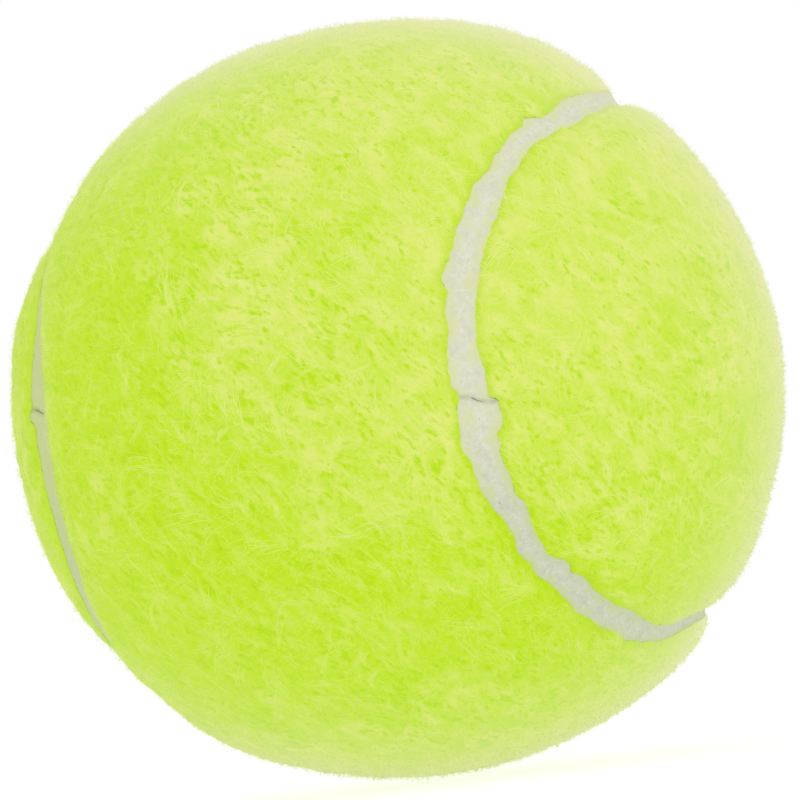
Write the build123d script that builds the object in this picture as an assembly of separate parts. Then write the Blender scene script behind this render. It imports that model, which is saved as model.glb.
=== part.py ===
"""Tennis ball: a hollow rubber core cured from two halves and wrapped in two felt panels.

The origin is the ball's centre. +Z points to the upper half of the core, -Y to the waist
of the front panel and +Y to the waist of the rear panel. Lengths are in millimetres.
"""
from math import cos, radians, sin, sqrt
import os

from build123d import *

# Driving dimensions of the core and of the layers laid over it, from the inside out.
core_diameter = 59.8  # over the moulded rubber
core_wall = 3.4
joint_thickness = 0.25  # cement between the two halves of the core
coat_thickness = 0.25  # rubber solution brushed all over the core
backing_thickness = 0.5  # cemented weave at the back of each felt panel
felt_thickness = 2.75  # brushed felt above its backing

# Driving dimensions of the seam between the two panels.
seam_width = 2.0
seam_depth = 1.5  # from the surface of the felt down to the face of the seam
felt_edge_radius = 2.2  # roll of the felt's edge down into the seam
felt_edge_lift = 0.06  # height by which the roll would pass over the ball's surface
lobe_angle = 41.0  # degrees at the ball's centre, radius of a panel's round end
lobe_tilt = 8.7  # degrees from the pole to the middle of a panel's round end

# The radius at which each layer ends.
core_radius = core_diameter / 2
hollow_radius = core_radius - core_wall
coat_radius = core_radius + coat_thickness
backing_radius = coat_radius + backing_thickness
ball_radius = backing_radius + felt_thickness
seam_radius = ball_radius - seam_depth


def layer(inner_radius, outer_radius):
    """A closed spherical layer between two radii."""
    return Sphere(outer_radius) - Sphere(inner_radius)


def core_pieces():
    """The two rubber halves and the ring of cement that joins their flat edges."""
    rubber = layer(hollow_radius, core_radius)
    above = Plane.XY.offset(joint_thickness / 2)
    below = Plane.XY.offset(-joint_thickness / 2)
    upper = split(rubber, bisect_by=above, keep=Keep.TOP)
    lower = split(rubber, bisect_by=below, keep=Keep.BOTTOM)
    ring = split(split(rubber, bisect_by=above, keep=Keep.BOTTOM), bisect_by=below, keep=Keep.TOP)
    return upper, lower, ring


def groove_profile():
    """The gap between the panels, in a plane through the ball's centre.

    Its second axis is the distance from the centre. The walls run straight up from the
    core and then roll outwards, as the felt's edge does.
    """
    half_width = seam_width / 2
    roll_middle = half_width + felt_edge_radius
    roll_reach = ball_radius - felt_edge_radius + felt_edge_lift
    roll_start = sqrt(roll_reach**2 - roll_middle**2)
    foot = core_radius - core_wall / 2
    crown = ball_radius + felt_edge_radius
    base = Line((0, foot), (half_width, foot))
    wall = Line((half_width, foot), (half_width, roll_start))
    roll = CenterArc((roll_middle, roll_start), felt_edge_radius, 180, -90)
    rise = Line(roll @ 1, (roll_middle, crown))
    top = Line((roll_middle, crown), (0, crown))
    right_side = Curve() + [base, wall, roll, rise, top]
    return make_face(right_side + mirror(right_side, about=Plane.YZ))


def seam_quarter():
    """The arcs of a quarter of the seam, each as its axis and its first and last points.

    The seam runs round the rounded end of the rear panel, then straight over the ball on
    a great circle, then round the rounded end of the front panel the other way. The great
    circle touches both round ends, which fixes its axis.
    """
    angle = radians(lobe_angle)
    tilt = radians(lobe_tilt)
    front_lobe = Vector(0, sin(tilt), cos(tilt))
    rear_lobe = Vector(cos(tilt), -sin(tilt), 0)
    across = (front_lobe - rear_lobe) * (sin(angle) / (1 + sin(tilt) ** 2))
    along = rear_lobe.cross(front_lobe).normalized() * sqrt(1 - across.length**2)
    link = across + along
    front_touch = (front_lobe - link * sin(angle)).normalized()
    rear_touch = (rear_lobe + link * sin(angle)).normalized()
    front_tip = Vector(0, sin(tilt + angle), cos(tilt + angle))
    rear_tip = Vector(cos(tilt + angle), -sin(tilt + angle), 0)
    return [
        (rear_lobe, rear_tip, rear_touch),
        (link, rear_touch, front_touch),
        (front_lobe, front_touch, front_tip),
    ]


def turn_about(axis, first, last):
    """The angle in degrees by which the last point is turned about an axis from the first."""
    return (first - axis * axis.dot(first)).get_angle(last - axis * axis.dot(last))


def along_seam(profile):
    """The closed ring that a profile makes when it follows the whole seam."""
    quarter = Part()
    for axis, first, last in seam_quarter():
        outwards = (first * axis.dot(first) - axis).normalized()
        turn = turn_about(axis, first, last)
        way = axis if first.cross(last).dot(axis) > 0 else -axis
        section = Plane(origin=(0, 0, 0), x_dir=outwards, z_dir=outwards.cross(first))
        quarter += revolve(section * profile, axis=Axis((0, 0, 0), way), revolution_arc=turn)
    half = quarter + mirror(quarter, about=Plane.YZ)
    return half + mirror(half, about=Plane.XY)


def front_and_rear(covering, groove):
    """The two dumbbell-shaped panels that the seam's groove leaves of a layer."""
    front, rear = (covering - groove).solids().sort_by(Axis.Y)
    return front, rear


core_upper, core_lower, core_joint = core_pieces()
groove = along_seam(groove_profile())
felt_front, felt_rear = front_and_rear(layer(backing_radius, ball_radius), groove)
backing_front, backing_rear = front_and_rear(layer(coat_radius, backing_radius), groove)
seam_section = groove_profile() & (Circle(seam_radius) - Circle(coat_radius))

nodes = {
    "core_half_upper": core_upper,
    "core_half_lower": core_lower,
    "core_joint_cement": core_joint,
    "core_cement_coat": layer(core_radius, coat_radius),
    "felt_backing_front": backing_front,
    "felt_backing_rear": backing_rear,
    "felt_panel_front": felt_front,
    "felt_panel_rear": felt_rear,
    "seam_cement": along_seam(seam_section),
}

os.makedirs("parts", exist_ok=True)
for name, solid in nodes.items():
    export_step(solid, f"parts/{name}.step")

quarter_length = 0
for axis, first, last in seam_quarter():
    arc_radius = seam_radius * sqrt(1 - axis.dot(first) ** 2)
    quarter_length += arc_radius * radians(turn_about(axis, first, last))
print(f"ball {2 * ball_radius:.2f} mm across, seam {4 * quarter_length:.1f} mm long")
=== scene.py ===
"""Tennis ball: the looks of each piece, in the order in which a ball is put together.

Lengths are metres, in the frame of the solids: the origin is the ball's centre, +Z points to
the upper half of the core and -Y to the waist of the front felt panel.
"""
from math import cos, pi, radians, sin, sqrt, tau

import bpy
import numpy as np
from mathutils import Matrix, Quaternion, Vector, noise


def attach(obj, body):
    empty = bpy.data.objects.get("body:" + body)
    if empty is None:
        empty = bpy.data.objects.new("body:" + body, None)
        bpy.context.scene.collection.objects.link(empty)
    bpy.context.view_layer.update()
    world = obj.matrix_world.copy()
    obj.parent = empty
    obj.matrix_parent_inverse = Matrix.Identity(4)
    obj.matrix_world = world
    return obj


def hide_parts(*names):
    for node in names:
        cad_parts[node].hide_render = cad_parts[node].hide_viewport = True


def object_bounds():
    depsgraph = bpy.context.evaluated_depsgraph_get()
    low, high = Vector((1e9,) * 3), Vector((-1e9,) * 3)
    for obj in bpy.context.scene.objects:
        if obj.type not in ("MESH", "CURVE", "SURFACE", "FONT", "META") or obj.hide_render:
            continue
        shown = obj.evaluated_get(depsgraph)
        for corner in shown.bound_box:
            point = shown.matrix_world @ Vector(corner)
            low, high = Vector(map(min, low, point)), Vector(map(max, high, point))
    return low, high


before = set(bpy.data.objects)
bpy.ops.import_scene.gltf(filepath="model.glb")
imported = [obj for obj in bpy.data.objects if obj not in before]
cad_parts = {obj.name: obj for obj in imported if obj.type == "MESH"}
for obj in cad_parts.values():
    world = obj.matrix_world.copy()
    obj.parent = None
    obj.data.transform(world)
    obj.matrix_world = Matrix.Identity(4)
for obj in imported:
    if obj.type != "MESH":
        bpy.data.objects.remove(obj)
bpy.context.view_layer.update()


# Core halves. Two bowls of dark rubber, pressed hot in a mould and ground flat at their edges.
# They carry the whole ball. The rubber is dull, with flow marks from the press and a fine grain.

mm = 0.001
dark_rubber = (0.070, 0.058, 0.050, 1)
light_rubber = (0.108, 0.090, 0.078, 1)


class Wire:
    """An output of a node. Sums and products of wires add the nodes that work them out."""

    def __init__(self, tree, socket=None):
        self.tree = tree
        self.socket = socket

    def node(self, kind, settings=(), sockets=(), output=0):
        """A new node, with its settings and then its sockets set, as one of its outputs."""
        made = self.tree.nodes.new(kind)
        for name, value in dict(settings).items():
            setattr(made, name, value)
        for name, value in dict(sockets).items():
            if isinstance(value, Wire):
                self.tree.links.new(value.socket, made.inputs[name])
            else:
                made.inputs[name].default_value = value
        return Wire(self.tree, made.outputs[output] if made.outputs else None)

    def also(self, output):
        """Another output of the same node."""
        return Wire(self.tree, self.socket.node.outputs[output])

    def maths(self, operation, first, second=None):
        """A Math node, or a Vector Math node where one of the values is a vector or a colour."""
        values = {0: first} if second is None else {0: first, 1: second}
        vectors = [isinstance(v, tuple) or isinstance(v, Wire) and v.socket.type in ("VECTOR", "RGBA")
                   for v in values.values()]
        if not any(vectors):
            return self.node("ShaderNodeMath", {"operation": operation}, values)
        if operation == "MULTIPLY" and not all(vectors):
            vector, number = (first, second) if vectors[0] else (second, first)
            return self.node("ShaderNodeVectorMath", {"operation": "SCALE"}, {0: vector, "Scale": number})
        return self.node("ShaderNodeVectorMath", {"operation": operation}, values)

    def through(self, operation, other=None):
        """This wire through a Math node, with another value where the node takes two."""
        return self.maths(operation, self, other)

    def __add__(self, other):
        return self.maths("ADD", self, other)

    def __radd__(self, other):
        return self.maths("ADD", other, self)

    def __sub__(self, other):
        return self.maths("SUBTRACT", self, other)

    def __rsub__(self, other):
        return self.maths("SUBTRACT", other, self)

    def __mul__(self, other):
        return self.maths("MULTIPLY", self, other)

    def __rmul__(self, other):
        return self.maths("MULTIPLY", other, self)

    def __pow__(self, other):
        return self.maths("POWER", self, other)

    def along(self, way):
        """How far a place lies along a direction."""
        return self.node("ShaderNodeVectorMath", {"operation": "DOT_PRODUCT"}, {0: self, 1: way}, "Value")

    def rise(self, low, high):
        """0 up to low, 1 from high on, and smooth between them."""
        return self.node("ShaderNodeMapRange", {"interpolation_type": "SMOOTHSTEP"},
                         {"Value": self, "From Min": low, "From Max": high})

    def mix(self, first, second):
        """The first colour where this is 0, and the second where it is 1."""
        return self.node("ShaderNodeMix", {"data_type": "RGBA"}, {0: self, 6: first, 7: second}, 2)


def cloud(place, size, detail=2.0, distortion=0.0):
    """Cloudy noise from 0 to 1, whose patches are about this size."""
    return place.node("ShaderNodeTexNoise", {}, {
        "Vector": place, "Scale": 1 / size, "Detail": detail, "Distortion": distortion})


def new_material(name):
    """An empty material and the wire of the place on the piece."""
    material = bpy.data.materials.new(name)
    material.use_nodes = True
    material.node_tree.nodes.clear()
    return material, Wire(material.node_tree).node("ShaderNodeTexCoord", output="Object")


def cover(place, colour, roughness, height, depth, constants=()):
    """Ends a material in its shader: height, from 0 to 1, stands for a relief of this depth."""
    normal = place.node("ShaderNodeBump", {}, {"Distance": depth, "Height": height})
    shader = place.node("ShaderNodeBsdfPrincipled", {}, {
        "Base Color": colour, "Roughness": roughness, "Normal": normal, **dict(constants)})
    place.node("ShaderNodeOutputMaterial", {}, {"Surface": shader})


def dress_solid(node, material):
    """Gives a solid of the frame its material."""
    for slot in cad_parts[node].material_slots:
        slot.material = material


core_rubber, place = new_material("core_rubber")
flow_marks = cloud(place, 9 * mm, distortion=1.6)
rubber_grain = cloud(place, 0.35 * mm)
cover(
    place,
    flow_marks.rise(0.3, 0.7).mix(dark_rubber, light_rubber),
    0.6 + 0.25 * rubber_grain,
    0.7 * flow_marks + 0.3 * rubber_grain,
    0.15 * mm,
    {"Specular IOR Level": 0.35},
)
dress_solid("core_half_upper", core_rubber)
dress_solid("core_half_lower", core_rubber)


# Core joint. A ring of black rubber cement, spread on the flat edges of the two halves and
# cured under pressure, which seals the air in. It shows beads where it was squeezed out.

black_cement = (0.028, 0.026, 0.025, 1)
smeared_cement = (0.048, 0.043, 0.039, 1)

joint_cement, place = new_material("joint_cement")
beads = cloud(place, 1.4 * mm, detail=1.0)
smears = cloud(place, 5 * mm, distortion=2.0)
cover(
    place,
    smears.rise(0.35, 0.7).mix(black_cement, smeared_cement),
    0.38 + 0.2 * smears,
    beads,
    0.12 * mm,
)
dress_solid("core_joint_cement", joint_cement)


# Cement coat. Rubber solution, brushed over the buffed core and dried tacky. It is thin and
# amber, darker where the brush left more, with streaks that run round the ball.

thick_amber = (0.36, 0.25, 0.10, 1)
thin_amber = (0.52, 0.41, 0.22, 1)
brush_stretch = 7.0  # of the streaks' length to their width

coat_solution, place = new_material("coat_solution")
brushed = place.node("ShaderNodeMapping", {}, {"Vector": place, "Scale": (1.0, 1.0, brush_stretch)})
streaks = cloud(brushed, 6 * mm, detail=4.0)
pools = cloud(place, 11 * mm)
cover(
    place,
    (0.6 * streaks + 0.4 * pools).rise(0.35, 0.65).mix(thick_amber, thin_amber),
    0.42 + 0.25 * streaks,
    streaks,
    0.08 * mm,
)
dress_solid("core_cement_coat", coat_solution)


# Seam. Pale rubber cement, into which the edges of both panels are dipped before they are laid
# on the core. It cures in the mould as one strip, with a pinched fold on both sides where the halves
# of the mould meet. Its soak stain is heavier and darker towards -X and at its borders, where the
# darker colour also stands in for the shade beside the felt. Below, it is painted greyer, as shade,
# and the fold's crease and slit are painted dark, as shade.

lobe_angle = radians(41.0)  # radius of a panel's round end, seen from the ball's centre
lobe_tilt = radians(8.7)  # from the pole to the middle of a round end
edge_swings = (  # of a ragged edge: their height and their length
    (0.10 * mm, 1.6 * mm),
    (0.12 * mm, 0.7 * mm),
    (0.06 * mm, 0.4 * mm))
plain_stretch = (50 * mm, 125 * mm)  # of each half of the seam, where the edges only waver
waver_height = 0.22 * mm
waver_length = 7 * mm
mould_axis = Vector((0.107, 0.0, 1.0)).normalized()  # square to the plane where the mould parts
mould_level = -0.1 * mm
flattening = 0.022  # of the radius, at the ends of the mould's axis
swelling = 0.005  # of the radius, at the parting plane
bulges = (  # of the finished ball: its direction, its height and how far it reaches
    ((0.46, 0.12, 0.88), 0.40 * mm, 5 * mm),
    ((-0.66, -0.51, 0.55), -0.30 * mm, 4 * mm),
    ((-0.78, -0.57, 0.27), 0.25 * mm, 4 * mm),
    ((-0.42, -0.29, -0.86), 0.45 * mm, 9 * mm),
    ((-0.58, -0.40, -0.71), -0.40 * mm, 3 * mm),
    ((0.886, 0.408, 0.219), -0.15 * mm, 9 * mm),
    ((0.830, 0.410, -0.377), -0.20 * mm, 6 * mm),
    ((0.515, 0.251, -0.820), 0.20 * mm, 5 * mm),
    ((0.318, 0.034, 0.948), 0.20 * mm, 5 * mm))
nap_height = 0.36 * mm  # by which the nap stands over the matted felt
seam_step = 0.2 * mm  # from one row of the strip's points to the next
strip_rows = 17  # of points across the strip
strip_drop = 0.03 * mm  # from the felt's rolled edge down to the strip's border
strip_hollow = 0.12  # of the felt's depth beside it, by which the strip's middle lies deeper
strip_flange = 0.35 * mm  # by which the strip reaches under the felt
flange_drop = 0.25 * mm  # by which it lies deeper there
fold_sway = 0.2 * mm  # by which the fold shifts along the seam
fold_middle = 0.15 * mm  # from the middle of the strip to where it shifts
fold_turn = 0.3 * mm  # over which it shifts
far_fold_turn = 0.8 * mm  # of the other fold, across the ball
crease_depth = 0.15 * mm
crease_width = 0.2 * mm
droop_depth = 0.12 * mm  # by which the strip sinks above the fold
droop_reach = 0.7 * mm
dull_cream = (0.67, 0.69, 0.51, 1)
pale_cream = (0.80, 0.805, 0.69, 1)
# greys for the strip's lower half: painted shade
shaded_dull_grey = (0.57, 0.605, 0.455, 1)
shaded_pale_grey = (0.72, 0.735, 0.63, 1)
thin_soak = (0.72, 0.76, 0.41, 1)
deep_soak = (0.59, 0.67, 0.29, 1)
# greyer stain for the lower half: painted shade
shaded_soak = (0.54, 0.63, 0.35, 1)
speck_dirt = (0.30, 0.29, 0.24, 1)
# painted shade in the fold's crease and in its slit
fold_shade_colour = (0.26, 0.29, 0.14, 1)
slit_shade_colour = (0.10, 0.11, 0.07, 1)


def radii(node):
    """The least and the greatest distance of a solid's surface from the ball's centre."""
    distances = [vertex.co.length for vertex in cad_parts[node].data.vertices]
    return min(distances), max(distances)


def arc(axis, first, last, step):
    """Points of a ball of radius 1 from first to last, turned about an axis, without the last."""
    start = first - axis * axis.dot(first)
    turn = start.angle(last - axis * axis.dot(last))
    way = axis if first.cross(last).dot(axis) > 0 else -axis
    count = round(turn * start.length / step)
    return [Quaternion(way, turn * k / count) @ first for k in range(count)]


def seam_course(step):
    """Points along the whole seam on a ball of radius 1, from its right-hand crossing of z = 0."""
    front_lobe = Vector((0, sin(lobe_tilt), cos(lobe_tilt)))
    rear_lobe = Vector((cos(lobe_tilt), -sin(lobe_tilt), 0))
    across = (front_lobe - rear_lobe) * (sin(lobe_angle) / (1 + sin(lobe_tilt) ** 2))
    along = rear_lobe.cross(front_lobe).normalized() * sqrt(1 - across.length_squared)
    link = across + along
    front_touch = (front_lobe - link * sin(lobe_angle)).normalized()
    rear_touch = (rear_lobe + link * sin(lobe_angle)).normalized()
    reach = lobe_tilt + lobe_angle
    front_tip = Vector((0, sin(reach), cos(reach)))
    rear_tip = Vector((cos(reach), -sin(reach), 0))
    quarter = np.array(
        arc(rear_lobe, rear_tip, rear_touch, step)
        + arc(link, rear_touch, front_touch, step)
        + arc(front_lobe, front_touch, front_tip, step)
        + [front_tip])
    half = np.concatenate([quarter[:-1], quarter[::-1] * (-1, 1, 1)])
    return np.concatenate([half[:-1], half[:0:-1] * (1, 1, -1)])


def unit(vectors):
    """Each row of an array, made as long as 1."""
    return vectors / np.linalg.norm(vectors, axis=1, keepdims=True)


def wander(points, size, seed):
    """Smooth noise from -1 to 1 at points, whose swings are about this long."""
    shift = Vector((seed * 3.7, seed * -5.3, seed * 9.1))
    return np.array([noise.noise(Vector(point) / size + shift) for point in points])


sharp_angle = radians(40)


def add_piece(name, points, faces, material):
    """A mesh object of the scene, smooth but for its sharp edges, with its place in its mesh."""
    mesh = bpy.data.meshes.new(name)
    mesh.from_pydata(points, [], faces)
    mesh.shade_smooth()
    mesh.set_sharp_from_angle(angle=sharp_angle)
    mesh.materials.append(material)
    piece = bpy.data.objects.new(name, mesh)
    bpy.context.scene.collection.objects.link(piece)
    return piece


def note(piece, name, values):
    """Keeps a number for each point of a piece, for its material to read."""
    kept_values = piece.data.attributes.new(name, "FLOAT", "POINT")
    kept_values.data.foreach_set("value", np.asarray(values, np.float32))


def noted(place, name):
    """The number kept under this name, as a wire of a material."""
    return place.node("ShaderNodeAttribute", {"attribute_name": name}, output="Fac")


seam_floor, seam_face = radii("seam_cement")
felt_inner, ball_radius = radii("felt_panel_front")
course = seam_course(seam_step / seam_face)
seam_along = unit(np.roll(course, -1, 0) - np.roll(course, 1, 0))
seam_across = np.cross(seam_along, course)  # towards the rear panel
step_lengths = np.linalg.norm(np.roll(course, -1, 0) - course, axis=1) * seam_face
seam_length = step_lengths.sum()
places = np.cumsum(step_lengths) - step_lengths
places = np.where(places > seam_length / 2, places - seam_length, places)

# The felt's edges, as places along the seam from its crossing of z = 0 on the right, positive
# upwards, and widths from the middle of the seam, depths below the felt or breadths over which an
# edge rolls down to its depth, all in millimetres.
front_edge = (
    (-147, 3.7), (-143, 3.6), (-138, 3.4), (-128, 2.4), (-115, 1.05), (-60, 1.05), (-54, -0.5),
    (-50, -1.5), (-47, -1.7), (-44.6, -1.7), (-42.1, -1.35), (-40.2, -0.6), (-38.5, 0.1), (-37, 0.75),
    (-35.1, 1.05), (-34.2, 1.35), (-33, 1.45), (-31.5, 1.8), (-30.5, 1.5), (-27, 1.5), (-25, 1.35),
    (-24, 1.4), (-21.5, 1.0), (-19.2, 0.85), (-18, 1.25), (-17, 0.95), (-15.4, 1.25), (-13.8, 0.6),
    (-12, 0.95), (-10, 1.3), (-8, 1.45), (-7, 1.3), (-5.6, 1.65), (-3, 1.2), (-1.6, 1.0), (-1, 1.45),
    (0.5, 1.5), (3, 1.2), (4.5, 1.5), (6, 1.35), (7.3, 2.0), (8.2, 1.7), (10, 1.4), (14, 1.2),
    (15.5, 1.25), (18, 0.7), (19.4, 0.95), (20.2, 0.75), (22, 1.0), (24, 0.95), (25, 1.4), (26.4, 0.6),
    (28.5, 0.55), (31.3, 1.0), (33, 0.9), (34.5, 0.85), (37.2, 0.55), (39.1, 0.5), (41.4, 0.65),
    (44.5, 1.15), (50, 1.4), (60, 1.05), (115, 1.05), (126, 1.1), (130, 1.4), (134, 1.95), (138, 2.65),
    (144, 3.6), (147, 3.7))
rear_edge = (
    (-147, -1.1), (-143, -1.3), (-138, -1.3), (-128, -0.3), (-115, 1.05), (-60, 1.05), (-54, 1.8),
    (-50, 2.3), (-47.4, 2.35), (-44.5, 2.45), (-41.8, 2.2), (-39.3, 1.6), (-37.6, 0.95), (-36.4, 0.6),
    (-34.6, 0.4), (-32, 0.55), (-30, 0.75), (-27, 0.6), (-24, 0.95), (-22.5, 1.3), (-21.5, 1.3),
    (-20.5, 0.95), (-19.5, 1.4), (-18.6, 1.15), (-18, 0.75), (-17, 0.65), (-14, 0.95), (-12.5, 1.35),
    (-10.5, 1.0), (-9, 1.3), (-7, 1.0), (-6.4, 1.45), (-5.6, 1.3), (-5, 1.9), (-4, 2.2), (-2.8, 2.15),
    (-2.4, 1.4), (0, 1.35), (2, 0.9), (3, 1.0), (6, 0.95), (9, 1.05), (13, 1.4), (16, 1.3), (17.5, 1.0),
    (20, 1.2), (22, 0.95), (24, 0.9), (26, 1.15), (27.4, 1.15), (28.3, 1.5), (30, 1.55), (32, 1.4),
    (34.5, 1.3), (36.5, 1.25), (39, 1.05), (42, 0.8), (44.9, 0.55), (50, 0.5), (60, 1.05), (115, 1.05),
    (126, 0.2), (130, -0.7), (134, -1.25), (138, -1.7), (140, -1.3), (143, -0.6), (144.6, -0.45),
    (145.0, 0.2), (145.5, 0.1), (146, -1.0), (147, -1.1))
front_depth = (
    (-147, 0.5), (-125, 0.5), (-110, 0.8), (-60, 0.85), (-50, 0.65), (-40, 0.7), (-30, 0.8), (0, 0.55),
    (30, 0.8), (40, 0.7), (48, 0.7), (60, 0.85), (110, 0.8), (125, 0.5), (147, 0.5))
rear_depth = (
    (-147, 0.35), (-125, 0.5), (-110, 0.8), (-60, 1.1), (-40, 1.1), (-30, 1.05), (-12, 0.65),
    (12, 0.65), (30, 1.05), (40, 1.2), (50, 1.25), (60, 1.1), (110, 0.8), (125, 0.5), (147, 0.35))
front_roll = ((-147, 3.6), (-62, 3.6), (-54, 2.2), (-44, 2.2), (-36, 3.6), (147, 3.6))
rear_roll = (
    (-147, 3.6), (-65, 3.6), (-53, 6.0), (-40, 6.0), (-28, 3.6), (28, 3.6), (40, 3.2), (52, 3.2),
    (65, 3.6), (147, 3.6))


def along_course(points):
    """A measure that is given at some places in millimetres, at each point of the course."""
    return np.interp(places / mm, *zip(*points)) * mm


def felt_edge(points, seed):
    """Width from the middle of the seam to one panel's wall, at each point of the course."""
    spots = course * seam_face
    plain = (np.abs(places) > plain_stretch[0]) & (np.abs(places) < plain_stretch[1])
    loose = waver_height * wander(spots, waver_length, seed) * plain
    ragged = sum(height * wander(spots, length, seed + k)
                 for k, (height, length) in enumerate(edge_swings, 1))
    return along_course(points) + loose + ragged


def ball_shape(ways):
    """The radius of the matted felt along unit vectors, before its lumps and the roll of its edges."""
    to_pole = ways @ np.array(mould_axis)
    radius = ball_radius * (1 + swelling - flattening * to_pole**4) - nap_height
    for way, height, reach in bulges:
        radius = radius + height * np.exp((ways @ np.array(way) - 1) * 2 * (ball_radius / reach) ** 2)
    return radius


def on_ball(across):
    """Points of a ball of radius 1, at distances across the seam from each point of the course."""
    angle = (across / seam_face)[..., None]
    return course[:, None, :] * np.cos(angle) + seam_across[:, None, :] * np.sin(angle)


front_width = felt_edge(front_edge, 11)
rear_width = felt_edge(rear_edge, 21)
front_sink = along_course(front_depth)
rear_sink = along_course(rear_depth)
front_breadth = along_course(front_roll)
rear_breadth = along_course(rear_roll)


def seam_strip():
    """The strip's mesh: rings of points across the seam, joined along it.

    Gives points, faces, how near each point is to the strip's border, and its place across the strip.
    """
    rows = np.linspace(-1, 1, strip_rows)
    inwards = 1 - rows**2
    front, rear = front_width[:, None], rear_width[:, None]
    middle = (rear - front) / 2
    across = middle + (rear + front) / 2 * rows
    ways = on_ball(across)
    sink = (front_sink[:, None] * (1 - rows) + rear_sink[:, None] * (1 + rows)) / 2
    turn = np.where(ways[..., 0] > 0, fold_turn, far_fold_turn)
    sway = fold_sway * np.tanh((across - middle - fold_middle) / turn) * np.sign(ways[..., 0])
    over_fold = ways @ np.array(mould_axis) * seam_face - mould_level + sway
    crease = np.exp(-((over_fold / crease_width) ** 2)) * inwards
    droop = np.exp(-np.abs(over_fold) / droop_reach) * (over_fold > 0)
    spots = ways.reshape(-1, 3) * seam_face
    rough = 0.05 * wander(spots, 2.6 * mm, 31) + 0.03 * wander(spots, 0.7 * mm, 32)
    depth = sink * (1 + strip_hollow * inwards) + strip_drop + rough.reshape(across.shape) * mm
    depth = depth + crease_depth * crease + droop_depth * droop
    face = ways * (ball_shape(ways) - depth)[..., None]
    ends = np.linalg.norm(face[:, [0, -1]], axis=2) - flange_drop
    foot = [
        (rear + strip_flange, ends[:, 1:]),
        (rear, seam_floor),
        (middle, seam_floor),
        (-front, seam_floor),
        (-front - strip_flange, ends[:, :1])]
    foot_rows = [on_ball(width) * np.reshape(radius, (-1, 1, 1)) for width, radius in foot]
    rings = np.concatenate([face] + foot_rows, axis=1)
    count, around = rings.shape[:2]
    number = np.arange(count * around).reshape(count, around)
    ahead = np.roll(number, -1, 0)
    faces = np.stack([number, np.roll(number, -1, 1), np.roll(ahead, -1, 1), ahead], axis=-1)
    hidden = np.ones((count, len(foot)))
    borders = np.concatenate([np.tile(np.abs(rows), (count, 1)), hidden], axis=1)
    sides = np.concatenate([across - middle, 0 * hidden], axis=1)
    return rings.reshape(-1, 3), faces.reshape(-1, 4), borders.ravel(), sides.ravel()


seam_rubber, place = new_material("seam_rubber")
to_right = place.node("ShaderNodeSeparateXYZ", {}, {0: place})
# The strip is painted greyer towards the bottom: painted shade.
shaded_lower_half = (0.0 - to_right.also("Z")).rise(2 * mm, 14 * mm)
# more and darker stain towards -X
minus_x_side = (0.0 - to_right).rise(5 * mm, 18 * mm)
mottling = cloud(place, 1.5 * mm, detail=4.0)
flecks = cloud(place, 0.45 * mm, detail=2.0)
seam_grain = cloud(place, 0.16 * mm, detail=2.0)
seam_paleness = (0.35 * mottling + 0.4 * flecks + 0.25 * seam_grain).rise(0.35, 0.65)
clean_seam = shaded_lower_half.mix(
    seam_paleness.mix(dull_cream, pale_cream),
    seam_paleness.mix(shaded_dull_grey, shaded_pale_grey))
soak_colour = (0.6 * shaded_lower_half).mix(minus_x_side.mix(thin_soak, deep_soak), shaded_soak)
# Soak stain, heavier at the strip's borders and towards -X; at the borders its darker colour also stands
# in for the shade beside the felt.
soak_and_edge_shade = (0.9 * noted(place, "border") + 2.6 * mottling + 1.0 * minus_x_side).rise(1.3, 2.4)
specks = cloud(place, 0.5 * mm, detail=0.0).rise(0.84, 0.88)
specked_seam = (0.4 * specks).mix(soak_and_edge_shade.mix(clean_seam, soak_colour), speck_dirt)
on_right = to_right.through("GREATER_THAN", 0.0)
fold_sharpness = 1 / far_fold_turn + on_right * (1 / fold_turn - 1 / far_fold_turn)
past_shift = (noted(place, "across") - fold_middle) * fold_sharpness
fold_shift = fold_sway * past_shift.through("TANH") * to_right.through("SIGN")
off_fold = (place.along(mould_axis) - mould_level + fold_shift).through("ABSOLUTE")
# Painted shade: a dark slit along the fold's crease and a darker band beside it.
slit_shade = (1 - off_fold.rise(0.02 * mm, 0.07 * mm)) * (1 - past_shift.through("ABSOLUTE").rise(0.7, 1.6))
fold_shade_band = 1 - off_fold.rise(0.0, 0.4 * mm)
cover(
    place,
    (0.75 * slit_shade).mix((0.25 * fold_shade_band).mix(specked_seam, fold_shade_colour), slit_shade_colour),
    0.62 + 0.2 * mottling,
    0.6 * mottling + 0.4 * seam_grain,
    0.08 * mm,
    {"Specular IOR Level": 0.3},
)
strip_points, strip_faces, strip_border, strip_across = seam_strip()
seam = add_piece("seam_strip", strip_points, strip_faces, seam_rubber)
note(seam, "border", strip_border)
note(seam, "across", strip_across)
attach(seam, "root")
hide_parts("seam_cement")


# Felt backings. The cemented weave at the back of each felt panel, a plain cotton cloth that is
# cut with the felt and sticks to the coat of the core. Rubber solution has stained its threads.

panels = {"front": -1, "rear": 1}  # the side of the seam on which each one lies
backing_cells = 60  # of the grid from which it is cut, to a quarter turn
inner_coarseness = 4  # of a layer's inner face, in cells of its outer face
batch = 4000  # points that are compared with the seam at a time
thread_pitch = 0.9 * mm
thread_gap = (0.47, 0.43, 0.28, 1)
cotton = (0.70, 0.66, 0.50, 1)
cotton_stain = (0.48, 0.36, 0.17, 1)


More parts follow.
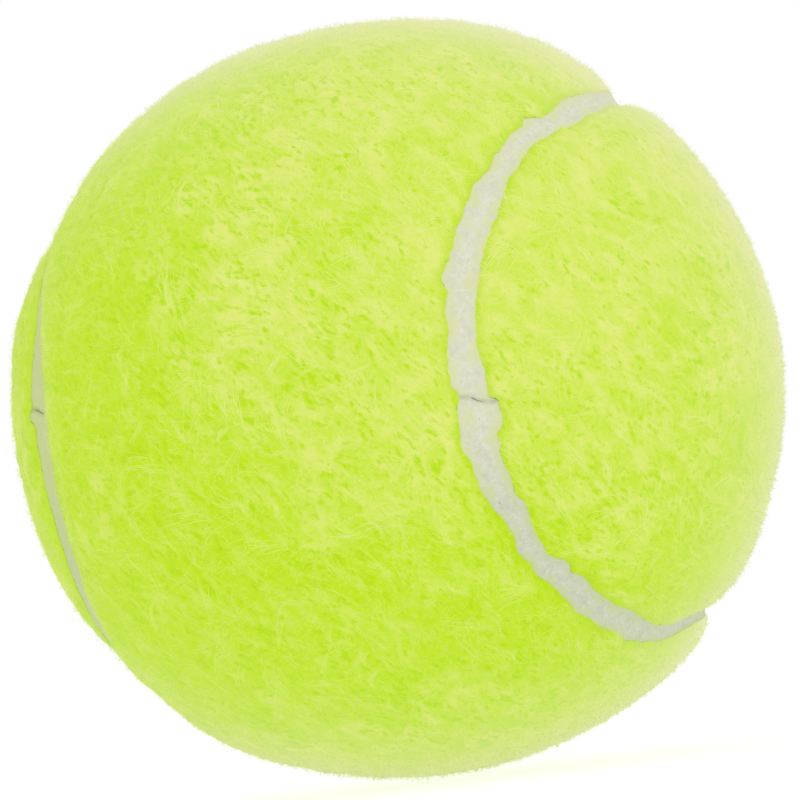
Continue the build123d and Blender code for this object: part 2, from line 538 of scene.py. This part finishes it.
def ball_grid(cells):
    """Points and faces of a cube that is blown up to a ball of radius 1, this many cells a side."""
    lines = np.tan(np.linspace(-pi / 4, pi / 4, cells + 1))
    u, v = (side.ravel() for side in np.meshgrid(lines, lines, indexing="ij"))
    ones = np.ones_like(u)
    sides = [(ones, u, v), (-ones, v, u), (v, ones, u), (u, -ones, v), (u, v, ones), (v, u, -ones)]
    points = np.concatenate([unit(np.stack(side, axis=1)) for side in sides])
    corner = np.arange((cells + 1) ** 2).reshape(cells + 1, cells + 1)
    square = np.stack([corner[:-1, :-1], corner[1:, :-1], corner[1:, 1:], corner[:-1, 1:]], axis=-1)
    faces = np.concatenate([square.reshape(-1, 4) + k * corner.size for k in range(len(sides))])
    points, same = np.unique(np.round(points, 7), axis=0, return_inverse=True)
    return unit(points), same.ravel()[faces]


def from_seam(points):
    """For each point of a ball of radius 1: its place in the course, and its distance from the
    middle of the seam, positive on the rear panel's side."""
    nearest = np.concatenate([
        (part @ course.T).argmax(axis=1) for part in np.array_split(points, len(points) // batch + 1)])
    across = np.einsum("ij,ij->i", points, seam_across[nearest])
    return nearest, np.arcsin(np.clip(across, -1, 1)) * seam_face


def rim_of(faces):
    """The points round a sheet's edge, in order, with the sheet on their left."""
    edges = {(a, b) for face in faces for a, b in zip(face, face[1:] + face[:1])}
    ahead = {a: b for a, b in edges if (b, a) not in edges}
    start = min(ahead)
    rim = [start]
    while ahead[rim[-1]] != start:
        rim.append(ahead[rim[-1]])
    return rim


def cut_sheet(cells, side):
    """The part of a ball of radius 1 that one panel covers, cut along the felt's edge.

    Gives its points, its faces, its rim, each point's distance from the edge and its place in the course.
    """
    points, faces = ball_grid(cells)
    nearest, distance = from_seam(points)
    inside = side * distance - np.where(side > 0, rear_width, front_width)[nearest]
    cell = seam_face * pi / 2 / cells
    near = np.abs(inside) < 0.5 * cell
    pull = (side * inside / seam_face)[:, None] * seam_across[nearest]
    points = np.where(near[:, None], unit(points - pull), points)
    inside[near] = 0.0
    reached = faces[(inside[faces] > 0).any(axis=1)]
    kept_faces = [[int(c) for c in face if inside[c] >= 0] for face in reached]
    kept_faces = [face for face in kept_faces if len(face) > 2]
    used = np.unique(np.concatenate([np.array(face) for face in kept_faces]))
    number = np.full(len(points), -1)
    number[used] = np.arange(len(used))
    kept_faces = [[int(number[c]) for c in face] for face in kept_faces]
    return points[used], kept_faces, rim_of(kept_faces), inside[used], nearest[used]


def lace(first, second, first_places, second_places):
    """Triangles between two rims that run side by side, each point at its place along them."""
    faces = []
    i = j = 0
    while i + 1 < len(first) or j + 1 < len(second):
        if j + 1 == len(second) or i + 1 < len(first) and first_places[i + 1] <= second_places[j + 1]:
            faces.append((first[i], first[i + 1], second[j]))
            i += 1
        else:
            faces.append((first[i], second[j + 1], second[j]))
            j += 1
    return faces


def from_lowest(rim, points):
    """A rim from its lowest place along the seam round to the same point, with those places."""
    nearest, _ = from_seam(points[rim])
    start = int(nearest.argmin())
    rim = rim[start:] + rim[:start]
    nearest = np.roll(nearest, -start)
    if np.median(np.diff(nearest)) < 0:
        rim, nearest = rim[:1] + rim[:0:-1], np.concatenate([nearest[:1], nearest[:0:-1]])
    return rim + rim[:1], np.append(nearest, nearest[0] + len(course))


def panel_shell(cells, side, outer_radius, inner_radius):
    """A closed sheet over one panel: an outer face whose radius is worked out at each point, and
    a coarse inner face, laced together at the edge. Gives points, faces and distances from it."""
    points, faces, rim, inside, nearest = cut_sheet(cells, side)
    inner_points, inner_faces, inner_rim = cut_sheet(cells // inner_coarseness, side)[:3]
    base = len(points)
    rim_line, rim_places = from_lowest(rim, points)
    inner_line, inner_places = from_lowest(inner_rim, inner_points)
    wall = lace(rim_line, [base + k for k in inner_line], rim_places, inner_places)
    if side < 0:
        wall = [face[::-1] for face in wall]
    sink = (rear_sink if side > 0 else front_sink)[nearest]
    breadth = (rear_breadth if side > 0 else front_breadth)[nearest]
    outer = outer_radius(points, inside, sink, breadth)
    shaped = np.concatenate([points * outer[:, None], inner_points * inner_radius])
    turned = [[base + k for k in face[::-1]] for face in inner_faces]
    return shaped, faces + turned + wall, np.concatenate([inside, np.full(len(inner_points), -1.0)])


def weave_surface(ways, inside, sink, breadth):
    """The outer radius of a backing, with the slight waves of a stretched cloth."""
    return backing_outer + 0.02 * mm * wander(ways * backing_outer, 2 * mm, 41)


def declare_cloth(piece):
    """Attaches a panel's layer to the ball's root body."""
    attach(piece, "root")


backing_inner, backing_outer = radii("felt_backing_front")
backing_cloth, place = new_material("backing_cloth")
threads = [
    place.node("ShaderNodeTexWave", {"bands_direction": direction, "wave_profile": "SIN"}, {
        "Vector": place, "Scale": 0.5 / thread_pitch, "Distortion": 0.6, "Detail Scale": 2.0}, "Fac")
    for direction in ("X", "Y", "Z")]
weave = threads[0].through("MAXIMUM", threads[1]).through("MAXIMUM", threads[2])
cement_stain = cloud(place, 7 * mm, detail=4.0).rise(0.45, 0.7)
cover(
    place,
    (0.6 * cement_stain).mix(weave.mix(thread_gap, cotton), cotton_stain),
    0.85 - 0.2 * cement_stain,
    weave,
    0.15 * mm,
)
for name, side in panels.items():
    shell = panel_shell(backing_cells, side, weave_surface, backing_inner)
    backing = add_piece(f"backing_cloth_{name}", *shell[:2], backing_cloth)
    declare_cloth(backing)
    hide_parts(f"felt_backing_{name}")


# Felt panels. Two dumbbell-shaped blanks of wool and nylon felt, dyed bright yellow-green and
# stretched over the cemented core. Their edges roll down into the seam. The mould leaves the ball
# slightly flat along its axis and the steam leaves it lumpy. The felt is painted paler on the side
# towards the lamp and on the foot, as if lit by the floor: painted light. Its pits and the groove
# by the seam are painted a deeper green, as shade, and where it is seen edge on a pale cream is
# mixed over it: a painted rim sheen.

felt_cells = 168  # of the grid from which it is cut, to a quarter turn
lump_swings = ((0.17, 11 * mm), (0.09, 3.2 * mm))  # height in millimetres, and length
tuft_swing = (0.06, 1.3 * mm)
pit_swing = (0.25, 0.9 * mm)
settled_width = 0.8 * mm  # beside the edge, over which the lumps die away
comb_axis = (0.65, 0.34, 0.68)  # about which the wool was brushed round
comb_stretch = 2.0  # of a wisp's length to its width
swirl_size = 7 * mm
swirl_bend = 2.5 * mm
pit_size = 0.42 * mm  # of the bare spots between the tufts
patch_size = 2 * mm  # of the patches in which there are more of them
lit_side_way = Vector((0.74, -0.565, 0.37)).normalized()  # to the side towards the lamp, on which the felt is painted paler: painted light
floor_lit_way = Vector((0.0, 0.0, -1.0))  # to the spot on which the ball rests, painted paler as if lit by the floor
smooth_way = Vector((-0.864, -0.501, -0.048)).normalized()  # to where less of the nap is raised and the painted rim sheen is weaker
usual_paling = 0.68  # counted as none
deep_green = (0.575, 0.85, 0.022, 1)
# pale end of the felt's colour, reached through wisps and drifts and through the painted light
pale_yellow = (0.80, 0.885, 0.22, 1)
# deeper green of the bare pits: painted shade
pit_shade_green = (0.51, 0.80, 0.006, 1)
# deeper green by the seam: painted shade in the groove
edge_shade_green = (0.52, 0.78, 0.01, 1)
# painted rim sheen: a pale cream mixed over the felt where it is seen edge on
rim_sheen_cream = (0.87, 0.875, 0.53, 1)
rim_sheen_cover = 1.15  # of the felt, by the painted rim sheen, where it is seen edge on
rim_sheen_power = 3.5  # power by which the painted sheen closes up towards there
felt_gloss = {
    "Specular IOR Level": 0.1,
    "Sheen Roughness": 0.3,
    "Sheen Tint": (1, 0.91, 0.82, 1),
}


def matted_surface(ways, inside, sink, breadth):
    """The outer radius of the matted felt."""
    spots = ways * ball_radius
    lumps = sum(height * wander(spots, length, 51 + k) for k, (height, length) in enumerate(lump_swings))
    pits = np.clip(wander(spots, pit_swing[1], 53) - 0.1, 0, 1)
    tufts = tuft_swing[0] * wander(spots, tuft_swing[1], 54)
    settled = np.clip(inside / settled_width, 0, 1)
    roll = sink * np.clip(1 - inside / breadth, 0, 1) ** 2
    return ball_shape(ways) - roll + (lumps + tufts - pit_swing[0] * pits) * mm * settled


def swirls(place, size):
    """A vector that swirls over the ball, each part from -0.5 to 0.5."""
    swirl = place.node("ShaderNodeTexNoise", {}, {
        "Vector": place, "Scale": 1 / size, "Detail": 1.0}, "Color")
    return swirl - (0.5, 0.5, 0.5)


def combed(place):
    """A place drawn together along the lie of the wool, so that noise is drawn out along it."""
    bent = place + swirls(place, swirl_size) * swirl_bend
    return bent * (1 / comb_stretch) + bent.along(comb_axis) * (1 - 1 / comb_stretch) * comb_axis


def towards(place, way, start, end):
    """0 up to one share of the radius along this way, and 1 from another share on."""
    return place.along(way).rise(start * ball_radius, end * ball_radius)


def painted_paling(place):
    """How much paler the felt is painted than usual: painted light, on the side towards the lamp and on
    the foot, as if lit by the floor.
    """
    floor_lit = towards(place, floor_lit_way, 0.6, 0.95)
    return towards(place, lit_side_way, 0.35, 0.9) + 0.8 * floor_lit - usual_paling


def raised_nap_and_sheen(place):
    """The share of the nap that is raised, and of the painted rim sheen: all of it, but for one smoother
    side.
    """
    return 1 - towards(place, smooth_way, 0.15, 0.95)


def bareness(place):
    """How bare the felt is: pits between the tufts, which crowd together in patches."""
    drawn_out = combed(place)
    patches = 0.35 * (cloud(drawn_out, patch_size, detail=1.0) - 0.5)
    # Fewer pits towards the lit side, and so less of their painted shade there: part of the painted light.
    closed = 0.08 * towards(place, lit_side_way, 0.8, 1.0)
    return cloud(drawn_out, pit_size, detail=1.0) + (patches - closed)


def with_rim_sheen(place, shader):
    """Ends a material in its shader, with a pale cream mixed over it where it is seen aslant: a painted
    rim sheen.
    """
    outwards = place.node("ShaderNodeVectorTransform", {
        "vector_type": "NORMAL", "convert_from": "OBJECT", "convert_to": "WORLD"}, {0: place})
    aslant = place.node("ShaderNodeLayerWeight", {}, {"Blend": 0.5, "Normal": outwards}, "Facing")
    rim_sheen = place.node("ShaderNodeBsdfPrincipled", {}, {
        "Base Color": rim_sheen_cream, "Roughness": 0.9, "Specular IOR Level": felt_gloss["Specular IOR Level"]})
    # The pale cream is mixed in by how aslant the surface is seen: a painted rim sheen.
    rim_sheen_share = rim_sheen_cover * aslant**rim_sheen_power * raised_nap_and_sheen(place)
    closed = place.node("ShaderNodeMixShader", {}, {0: rim_sheen_share, 1: shader, 2: rim_sheen})
    place.node("ShaderNodeOutputMaterial", {}, {"Surface": closed})


felt_mat, place = new_material("felt_mat")
# The bare pits are painted a deeper green: painted shade in the gaps of the nap.
shaded_bare_spots = bareness(place).rise(0.50, 0.74)
mat_wisps = cloud(combed(place), 1.1 * mm, detail=4.0).rise(0.4, 0.7)
mat_drift = cloud(place, 9 * mm)
mat_grain = cloud(place, 0.3 * mm, detail=3.0)
# Paler in wisps, grain and drifts, and painted paler on the lit side and the foot: painted light.
mat_paleness = 0.45 * mat_wisps + 0.4 * mat_grain + 0.8 * (mat_drift - 0.45) + 0.45 * painted_paling(place)
mat_colour = mat_paleness.rise(0.0, 1.0).mix(deep_green, pale_yellow)
mat_colour = (0.9 * shaded_bare_spots).mix(mat_colour, pit_shade_green)
# Deeper green where the nap thins towards the seam: painted shade where the felt rolls down into the
# groove.
edge_shade = 1 - noted(place, "nap_share").rise(0.3, 1.0)
with_rim_sheen(place, place.node("ShaderNodeBsdfPrincipled", {}, {
    "Base Color": (0.6 * edge_shade).mix(mat_colour, edge_shade_green),
    "Roughness": 0.9 + 0.1 * mat_wisps,
    "Normal": place.node("ShaderNodeBump", {}, {"Distance": 0.1 * mm, "Height": mat_grain}),
    "Sheen Weight": 0.5,
    **felt_gloss}))
felts = {}
for name, side in panels.items():
    points, faces, inside = panel_shell(felt_cells, side, matted_surface, felt_inner)
    felts[name] = add_piece(f"felt_{name}", points, faces, felt_mat)
    note(felts[name], "nap_share", np.clip(inside / (1.0 * mm), 0, 1) ** 0.5)


# Nap. The loose fibres that the steam raises from the felt. They lie in swirls and tufts on the
# mat, rooted at one end, finer and paler than the felt below, and a short fuzz stands off the ball.

nap_tree = bpy.data.node_groups.new("raised_nap", "GeometryNodeTree")
nap_inputs = {
    "Tufts per square metre": "NodeSocketFloat",
    "Fibres a tuft": "NodeSocketInt",
    "Tuft width": "NodeSocketFloat",
    "Side in X": "NodeSocketFloat",
    "Side in Z": "NodeSocketFloat",
    "Shortest": "NodeSocketFloat",
    "Longest": "NodeSocketFloat",
    "Thickness": "NodeSocketFloat",
    "Lift": "NodeSocketFloat",
    "Rise": "NodeSocketFloat",
    "Hug": "NodeSocketFloat",
    "Share on raised side": "NodeSocketFloat",
    "Curl": "NodeSocketFloat",
    "Straying": "NodeSocketFloat",
    "Points a fibre": "NodeSocketInt",
    "Seed": "NodeSocketInt",
    "Fibre": "NodeSocketMaterial",
}
nap_tree.interface.new_socket("Felt", in_out="INPUT", socket_type="NodeSocketGeometry")
for name, kind in nap_inputs.items():
    nap_tree.interface.new_socket(name, in_out="INPUT", socket_type=kind)
nap_tree.interface.new_socket("Nap", in_out="OUTPUT", socket_type="NodeSocketGeometry")
given = Wire(nap_tree).node("NodeGroupInput")
tuft_size = 1.6 * mm  # of the small swirls in which the fibres of a tuft run
pit_step = 0.1 * mm
pit_reach = 1.4 * mm  # by which a fibre is pushed off a pit, for each step of its slope
sunk = 0.02 * mm  # by which a fibre's ends lie in the felt
fibre_flatness = 0.45  # of a fibre's height to its width
weld_distance = 0.0001 * mm


def keep(geometry, name, kind, value, domain="POINT"):
    """Keeps a value under a name on every point of a geometry."""
    return geometry.node("GeometryNodeStoreNamedAttribute", {"data_type": kind, "domain": domain},
                         {"Geometry": geometry, "Name": name, "Value": value})


def kept(name, kind):
    """The value that was kept under a name."""
    return given.node("GeometryNodeInputNamedAttribute", {"data_type": kind}, {"Name": name})


def chance(low, high, seed, of="fibre"):
    """A random number for each fibre or tuft, the same at all its points."""
    return given.node("FunctionNodeRandomValue", {}, {2: low, 3: high, 7: kept(of, "INT"), 8: seed}, 1)


# Roots on the felt, fewer in its pits and on its smoother side, and a straight strand at each.
spot = given.node("GeometryNodeInputPosition")
spot_parts = spot.node("ShaderNodeSeparateXYZ", {}, {0: spot})
on_side = [1 - (part * given.also(side)).through("LESS_THAN", 0.0)
           for part, side in ((spot_parts, "Side in X"), (spot_parts.also("Z"), "Side in Z"))]
share = kept("nap_share", "FLOAT").through("MAXIMUM", 0.0)
covered = 1 - 0.92 * bareness(spot).rise(0.48, 0.60)
fuller = 1 - given.also("Share on raised side") * (1 - raised_nap_and_sheen(spot))
roots = given.node("GeometryNodeDistributePointsOnFaces", {}, {
    "Mesh": given.also("Felt"),
    "Density": given.also("Tufts per square metre") * share * covered * fuller * on_side[0] * on_side[1],
    "Seed": given.also("Seed")})
marked = keep(roots, "tuft", "INT", given.node("GeometryNodeInputIndex"))
marked = keep(marked, "root", "FLOAT_VECTOR", spot)
marked = keep(marked, "upwards", "FLOAT_VECTOR", roots.also("Normal"))
marked = given.node("GeometryNodeDuplicateElements", {"domain": "POINT"}, {
    "Geometry": marked, "Amount": given.also("Fibres a tuft")})
marked = keep(marked, "fibre", "INT", given.node("GeometryNodeInputIndex"))
straight = given.node("GeometryNodeResampleCurve", {}, {
    "Curve": given.node("GeometryNodeCurvePrimitiveLine"), "Count": given.also("Points a fibre")})
placed = given.node("GeometryNodeInstanceOnPoints", {}, {"Points": marked, "Instance": straight})
strands = given.node("GeometryNodeRealizeInstances", {}, {"Geometry": placed})

# Each strand's course: along the lie of the wool, bent and rippled, and pushed off the pits.
root = kept("root", "FLOAT_VECTOR")
upwards = kept("upwards", "FLOAT_VECTOR").through("NORMALIZE")
share_along = given.node("GeometryNodeSplineParameter")
longer = (given.also("Longest") - given.also("Shortest")) * chance(0.0, 1.0, 1, "tuft") ** 1.6
length = (given.also("Shortest") + longer) * chance(0.6, 1.0, 10)
brushed_about = swirls(root, swirl_size) * 2.5 + comb_axis
brushed_way = upwards.through("CROSS_PRODUCT", brushed_about).through("NORMALIZE")
stray = chance(-1.0, 1.0, 2, "tuft") ** 3.0 * given.also("Straying") + chance(-0.25, 0.25, 11)
lie = root.node("ShaderNodeVectorRotate", {"rotation_type": "AXIS_ANGLE"}, {
    "Vector": brushed_way, "Axis": upwards, "Angle": stray})
beside = upwards.through("CROSS_PRODUCT", lie)
run = length * share_along
bend = given.also("Curl") * (chance(-1.0, 1.0, 3, "tuft") + chance(-0.3, 0.3, 12)) * run * share_along
ripple = (share_along * chance(4.0, 9.0, 4) + chance(0.0, tau, 5)).through("SINE")
sideways = bend + ripple * length * share_along * 0.05 + given.also("Tuft width") * chance(-0.5, 0.5, 13)
upright = given.also("Rise")
laid = (1 - upright * upright) ** 0.5 * (run + length * chance(-0.3, 0.3, 14))
drawn = root + lie * laid + beside * sideways
drawn = drawn + swirls(drawn, tuft_size) * (run * 0.35)
bare_here = bareness(drawn)
steps = [(pit_step, 0.0, 0.0), (0.0, pit_step, 0.0), (0.0, 0.0, pit_step)]
slopes = {axis: bareness(drawn + step) - bare_here for axis, step in enumerate(steps)}
drawn = drawn - given.node("ShaderNodeCombineXYZ", {}, slopes) * pit_reach

# Its height over the felt: an arch, some with a free end, or standing off the ball.
felt_below = given.node("GeometryNodeProximity", {"target_element": "FACES"}, {
    0: given.also("Felt"), "Sample Position": drawn})
felt_normal = given.node("GeometryNodeSampleNearestSurface", {"data_type": "FLOAT_VECTOR"}, {
    "Mesh": given.also("Felt"), "Value": given.node("GeometryNodeInputNormal"), "Sample Position": drawn})
arch = share_along * (1 - share_along) * 4.0
free_end = chance(0.0, 1.0, 7) ** 5.0 * share_along * share_along * 2.0
lifted = given.also("Lift") * (arch * chance(0.3, 1.0, 6) + free_end) + upright * run - sunk
standing = drawn + upwards * lifted
drawn = standing + (felt_below + felt_normal * lifted - standing) * given.also("Hug")
strands = given.node("GeometryNodeSetPosition", {}, {"Geometry": strands, "Position": drawn})
strands = given.node("GeometryNodeSetCurveNormal", {"mode": "FREE"}, {
    "Curve": strands, "Normal": felt_normal})
strands = keep(strands, "along", "FLOAT", share_along)

# A flat three-sided fibre along each strand, pointed at both ends, with a map of its own.
profile = given.node("GeometryNodeCurvePrimitiveCircle", {}, {"Resolution": 3, "Radius": 1.0})
profile = keep(profile, "around", "FLOAT", given.node("GeometryNodeInputIndex"))
profile = given.node("GeometryNodeTransform", {}, {
    "Geometry": profile, "Scale": (fibre_flatness, 1.0, 1.0)})
fibres = given.node("GeometryNodeCurveToMesh", {}, {
    "Curve": strands,
    "Profile Curve": profile,
    "Scale": given.also("Thickness") * arch**0.4 * chance(0.35, 0.6, 8)})
along_fibre = kept("along", "FLOAT")
off_centre = along_fibre - 0.5
fibres = given.node("GeometryNodeMergeByDistance", {}, {
    "Geometry": fibres,
    "Selection": (off_centre * off_centre).through("GREATER_THAN", 0.24),
    "Distance": weld_distance})
own_place = given.node("ShaderNodeCombineXYZ", {}, {
    0: chance(0.02, 0.8, 9, "tuft") + chance(0.0, 0.15, 15) + kept("around", "FLOAT") * 0.005,
    1: 0.02 + 0.96 * along_fibre})
fibres = keep(fibres, "OFBake", "FLOAT2", own_place, "CORNER")
for name in ("tuft", "fibre", "root", "upwards", "along", "around", "nap_share"):
    fibres = given.node("GeometryNodeRemoveAttribute", {}, {"Geometry": fibres, "Name": name})
fibres = given.node("GeometryNodeSetShadeSmooth", {}, {"Geometry": fibres, "Shade Smooth": False})
fibres = given.node("GeometryNodeRealizeInstances", {}, {"Geometry": fibres})
fibres = given.node("GeometryNodeSetMaterial", {}, {"Geometry": fibres, "Material": given.also("Fibre")})
given.node("NodeGroupOutput", {}, {0: fibres})


def fibre_material(name, dull, pale, tip):
    """A dyed fibre, each of its own shade and paler towards its tip."""
    material, place = new_material(name)
    own_map = place.node("ShaderNodeUVMap", {"uv_map": "OFBake"})
    shade = place.node("ShaderNodeSeparateXYZ", {}, {0: own_map})
    drift = cloud(place, 9 * mm)
    # Paler by chance and in drifts, and painted paler on the lit side and the foot: painted light.
    paleness = shade.rise(0.1, 0.9) * 0.8 + (drift - 0.45) * 1.2 + 0.7 * painted_paling(place)
    with_rim_sheen(place, place.node("ShaderNodeBsdfPrincipled", {}, {
        "Base Color": (0.5 * shade.also("Y")).mix(paleness.rise(0.0, 1.0).mix(dull, pale), tip),
        "Roughness": 0.6 + 0.3 * shade,
        "Sheen Weight": 0.45,
        **felt_gloss}))
    return material


def grow(name, felt, sizes):
    """Fibres on a felt panel, as a plain mesh of their own."""
    nap = bpy.data.objects.new(name, felt.data)
    bpy.context.scene.collection.objects.link(nap)
    growth = nap.modifiers.new("growth", "NODES")
    growth.node_group = nap_tree
    for socket in nap_tree.interface.items_tree:
        if socket.name in sizes:
            growth[socket.identifier] = sizes[socket.name]
    grown = nap.evaluated_get(bpy.context.evaluated_depsgraph_get())
    mesh = bpy.data.meshes.new_from_object(grown)
    nap.modifiers.remove(growth)
    nap.data = mesh
    nap.visible_shadow = False  # light passes through such fine fibres
    nap.visible_diffuse = False
    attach(nap, "root")
    return nap


under_coat = {
    "Tufts per square metre": 1.0e6,
    "Fibres a tuft": 4,
    "Tuft width": 0.25 * mm,
    "Shortest": 1.0 * mm,
    "Longest": 3.0 * mm,
    "Thickness": 0.05 * mm,
    "Lift": 0.13 * mm,
    "Rise": 0.0,
    "Hug": 1.0,
    "Share on raised side": 0.0,
    "Curl": 0.8,
    "Straying": 1.2,
    "Points a fibre": 4,
    "Fibre": fibre_material(
        "under_fibre",
        dull=(0.595, 0.86, 0.03, 1),
        pale=(0.78, 0.885, 0.17, 1),
        tip=(0.78, 0.88, 0.19, 1)),
}
loose_coat = {
    "Tufts per square metre": 0.2e6,
    "Fibres a tuft": 8,
    "Tuft width": 0.45 * mm,
    "Shortest": 2.0 * mm,
    "Longest": 5.5 * mm,
    "Thickness": 0.045 * mm,
    "Lift": 0.2 * mm,
    "Rise": 0.0,
    "Hug": 1.0,
    "Share on raised side": 0.0,
    "Curl": 1.0,
    "Straying": 1.6,
    "Points a fibre": 5,
    "Fibre": fibre_material(
        "loose_fibre",
        dull=(0.67, 0.875, 0.11, 1),
        pale=(0.81, 0.89, 0.28, 1),
        tip=(0.83, 0.89, 0.30, 1)),
}
fuzz_coat = {
    "Tufts per square metre": 14.0e6,
    "Fibres a tuft": 1,
    "Tuft width": 0.1 * mm,
    "Shortest": 0.25 * mm,
    "Longest": 0.75 * mm,
    "Thickness": 0.04 * mm,
    "Lift": 0.05 * mm,
    "Rise": 0.85,
    "Hug": 0.0,
    "Share on raised side": 0.6,
    "Curl": 1.0,
    "Straying": 3.1,
    "Points a fibre": 3,
    "Fibre": fibre_material(
        "fuzz_fibre",
        dull=(0.73, 0.87, 0.19, 1),
        pale=(0.83, 0.87, 0.34, 1),
        tip=(0.88, 0.87, 0.50, 1)),
}
seed = 100
for panel, felt in felts.items():
    naps = [grow(f"nap_{panel}_loose", felt, {**loose_coat, "Seed": seed})]
    for half, up in (("upper", 1.0), ("lower", -1.0)):
        sizes = {**fuzz_coat, "Side in Z": up, "Seed": seed + 50}
        naps.append(grow(f"nap_{panel}_{half}_fuzz", felt, sizes))
        for hand, right in (("left", -1.0), ("right", 1.0)):
            seed += 1
            sizes = {**under_coat, "Side in X": right, "Side in Z": up, "Seed": seed}
            naps.append(grow(f"nap_{panel}_{half}_{hand}", felt, sizes))
    seed += 1
    declare_cloth(felt)
    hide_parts(f"felt_panel_{panel}")


# Studio. A white room: an even white light from all round, a soft lamp high on the camera's side
# and a pale floor under the ball, lit from within like a light table, which takes a faint shadow.

fill_light = 0.89
key_light = 0.08  # of the light that a surface turned to the lamp sends back
key_distance = 0.6
key_size = 0.5
key_way = Vector((0.59, -0.43, 0.69)).normalized()
key_colour = (1.0, 0.92, 0.88)
floor_size = 6.0
floor_grey = (0.36, 0.36, 0.36, 1)
floor_glow = 0.64
floor_whitening = 0.13  # by which the floor's picture is lifted to white


def seen_white(place):
    """1 for the rays that show the background, in the picture itself or in a gloss."""
    path = place.node("ShaderNodeLightPath")
    in_gloss = path.also("Is Glossy Ray").through("MAXIMUM", path.also("Is Transmission Ray"))
    return path.through("MAXIMUM", in_gloss)


room = bpy.data.worlds.new("white_room")
bpy.context.scene.world = room
room.use_nodes = True
room.node_tree.nodes.clear()
room_wire = Wire(room.node_tree)
room_light = room_wire.node("ShaderNodeBackground", {}, {
    "Color": (1, 1, 1, 1), "Strength": fill_light + (1 - fill_light) * seen_white(room_wire)})
room_wire.node("ShaderNodeOutputWorld", {}, {"Surface": room_light})

lamp = bpy.data.lights.new("key_lamp", "AREA")
lamp.shape = "DISK"
lamp.size = key_size
lamp.color = key_colour
lamp.energy = key_light * (pi * key_distance) ** 2
key = bpy.data.objects.new("key_lamp", lamp)
key.location = key_way * key_distance
key.rotation_euler = key_way.to_track_quat("Z", "Y").to_euler()
bpy.context.scene.collection.objects.link(key)

floor_paint, place = new_material("floor_paint")
matt = place.node("ShaderNodeBsdfDiffuse", {}, {"Color": floor_grey})
glow = place.node("ShaderNodeEmission", {}, {"Strength": floor_glow + floor_whitening * seen_white(place)})
lit = place.node("ShaderNodeAddShader", {}, {0: matt, 1: glow})
place.node("ShaderNodeOutputMaterial", {}, {"Surface": lit})
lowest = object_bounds()[0].z
corners = [(x * floor_size, y * floor_size, lowest) for x, y in ((-1, -1), (1, -1), (1, 1), (-1, 1))]
add_piece("floor", corners, [(0, 1, 2, 3)], floor_paint)


# Camera. A long lens, level with the lower half of the ball and turned a little on its side.

camera_azimuth = radians(30.23)
camera_elevation = radians(-2.85)
camera_roll = radians(-7.03)
camera_distance = 12 * ball_radius
picture_side = 800  # pixels
ball_middle = (398.5, 399.0)  # pixels, from the upper left
outline_radius = 387.0  # pixels

lens = bpy.data.cameras.new("camera")
lens.sensor_width = 36.0
outline_angle = ball_radius / sqrt(camera_distance**2 - ball_radius**2)
lens.lens = outline_radius / outline_angle / picture_side * lens.sensor_width
lens.shift_x = 0.5 - ball_middle[0] / picture_side
lens.shift_y = ball_middle[1] / picture_side - 0.5
lens.clip_start = 0.01
camera = bpy.data.objects.new("camera", lens)
backwards = Vector((
    sin(camera_azimuth) * cos(camera_elevation),
    -cos(camera_azimuth) * cos(camera_elevation),
    sin(camera_elevation)))
level_right = Vector((0, 0, 1)).cross(backwards).normalized()
camera_right = Quaternion(backwards, camera_roll) @ level_right
camera.matrix_world = Matrix.Translation(backwards * camera_distance) @ Matrix(
    (camera_right, backwards.cross(camera_right), backwards)).transposed().to_4x4()
bpy.context.scene.collection.objects.link(camera)
bpy.context.scene.camera = camera
bpy.context.scene.view_settings.view_transform = "Standard"
